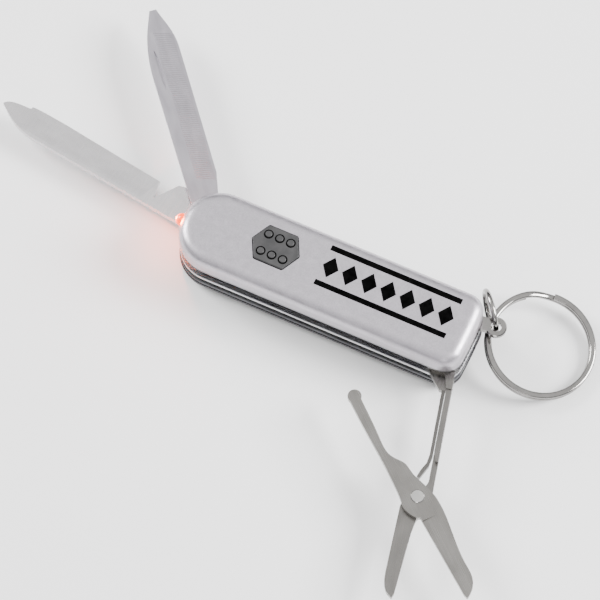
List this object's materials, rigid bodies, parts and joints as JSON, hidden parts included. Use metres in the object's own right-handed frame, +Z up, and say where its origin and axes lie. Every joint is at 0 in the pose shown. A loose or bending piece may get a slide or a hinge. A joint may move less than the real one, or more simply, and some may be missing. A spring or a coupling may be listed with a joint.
{
  "type": "keychain multi tool",
  "caption": "Small key-ring pocket knife with folding blade, nail file and sprung scissors, a push-button LED light in a silver plastic handle, and a split key ring.",
  "frame": {"origin": "on the back scale's flat face, under the middle of the handle's length and width", "axes": "+X from the LED end to the key-ring end, +Y the side the blade and the file swing out of, +Z up through the front scale"},
  "size_m": [0.1207, 0.0889, 0.0133],
  "materials": {
    "scale_plastic": "satin silver paint",
    "liner_aluminium": "satin",
    "pin_brass": "satin",
    "spring_steel": "ground",
    "blade_steel": "polished",
    "file_steel": "bead blasted",
    "scissor_steel": "ground",
    "button_plastic": "soft satin",
    "led_lens": "clear red lens",
    "cell_steel": "plated",
    "holder_plastic": "matte",
    "ring_metal": "bright plated"
  },
  "bodies": {
    "root": {"back_scale": "scale_plastic", "back_liner": "liner_aluminium", "middle_liner": "liner_aluminium", "front_liner": "liner_aluminium", "front_scale": "scale_plastic", "knife_pin": "pin_brass", "scissor_pin": "pin_brass", "middle_pin": "pin_brass", "anchor_pin": "pin_brass", "pin_collars": "pin_brass", "blade_spring": "spring_steel", "tool_spring": "spring_steel", "spacer_washers": "pin_brass", "led": "led_lens", "coin_cell": "cell_steel", "led_leads": "cell_steel", "light_holder": "holder_plastic", "contact_dome": "spring_steel", "ring_lug": "ring_metal"},
    "blade": {"blade": "blade_steel"},
    "nail_file": {"nail_file": "file_steel"},
    "scissors": {"scissor_body": "scissor_steel", "scissor_leaf_spring": "spring_steel", "scissor_rivet": "scissor_steel"},
    "scissor_lever": {"scissor_lever": "scissor_steel"},
    "light_button": {"light_button": "button_plastic"},
    "link_ring": {"link_ring": "ring_metal"},
    "key_ring": {"key_ring": "ring_metal"}
  },
  "joints": [
    {"name": "blade_pivot", "type": "hinge", "parent": "root", "child": "blade", "pos_m": [-0.0247, 0.00385, 0.004], "axis": [0, 0, 1], "range_deg": [-171.9, 8.1]},
    {"name": "file_pivot", "type": "hinge", "parent": "root", "child": "nail_file", "pos_m": [-0.0247, 0.00385, 0.006], "axis": [0, 0, 1], "range_deg": [-130.2, 49.8]},
    {"name": "scissor_pivot", "type": "hinge", "parent": "root", "child": "scissors", "pos_m": [0.0248, -0.0044, 0.0065], "axis": [0, 0, 1], "range_deg": [-103.7, 0]},
    {"name": "lever_pivot", "type": "hinge", "parent": "scissors", "child": "scissor_lever", "pos_m": [0.03206, -0.03124, 0.0072], "axis": [0, 0, 1], "range_deg": [-38.8, 0]},
    {"name": "button_press", "type": "slide", "parent": "root", "child": "light_button", "axis": [0, 0, -1], "range_m": [0, 0.0004], "stiffness_N_per_m": 400},
    {"name": "link_swing", "type": "hinge", "parent": "root", "child": "link_ring", "pos_m": [0.0315, 0.005, 0.0074], "axis": [0, 0, 1], "range_deg": [-20, 2]},
    {"name": "key_ring_lift", "type": "hinge", "parent": "link_ring", "child": "key_ring", "pos_m": [0.03005, 0.0069, 0.00502], "axis": [0, -1, 0], "range_deg": [0, 22]}
  ],
  "couplings": [
    {"joint": "lever_pivot", "follows": "scissor_pivot", "ratio": 0.3732}
  ]
}
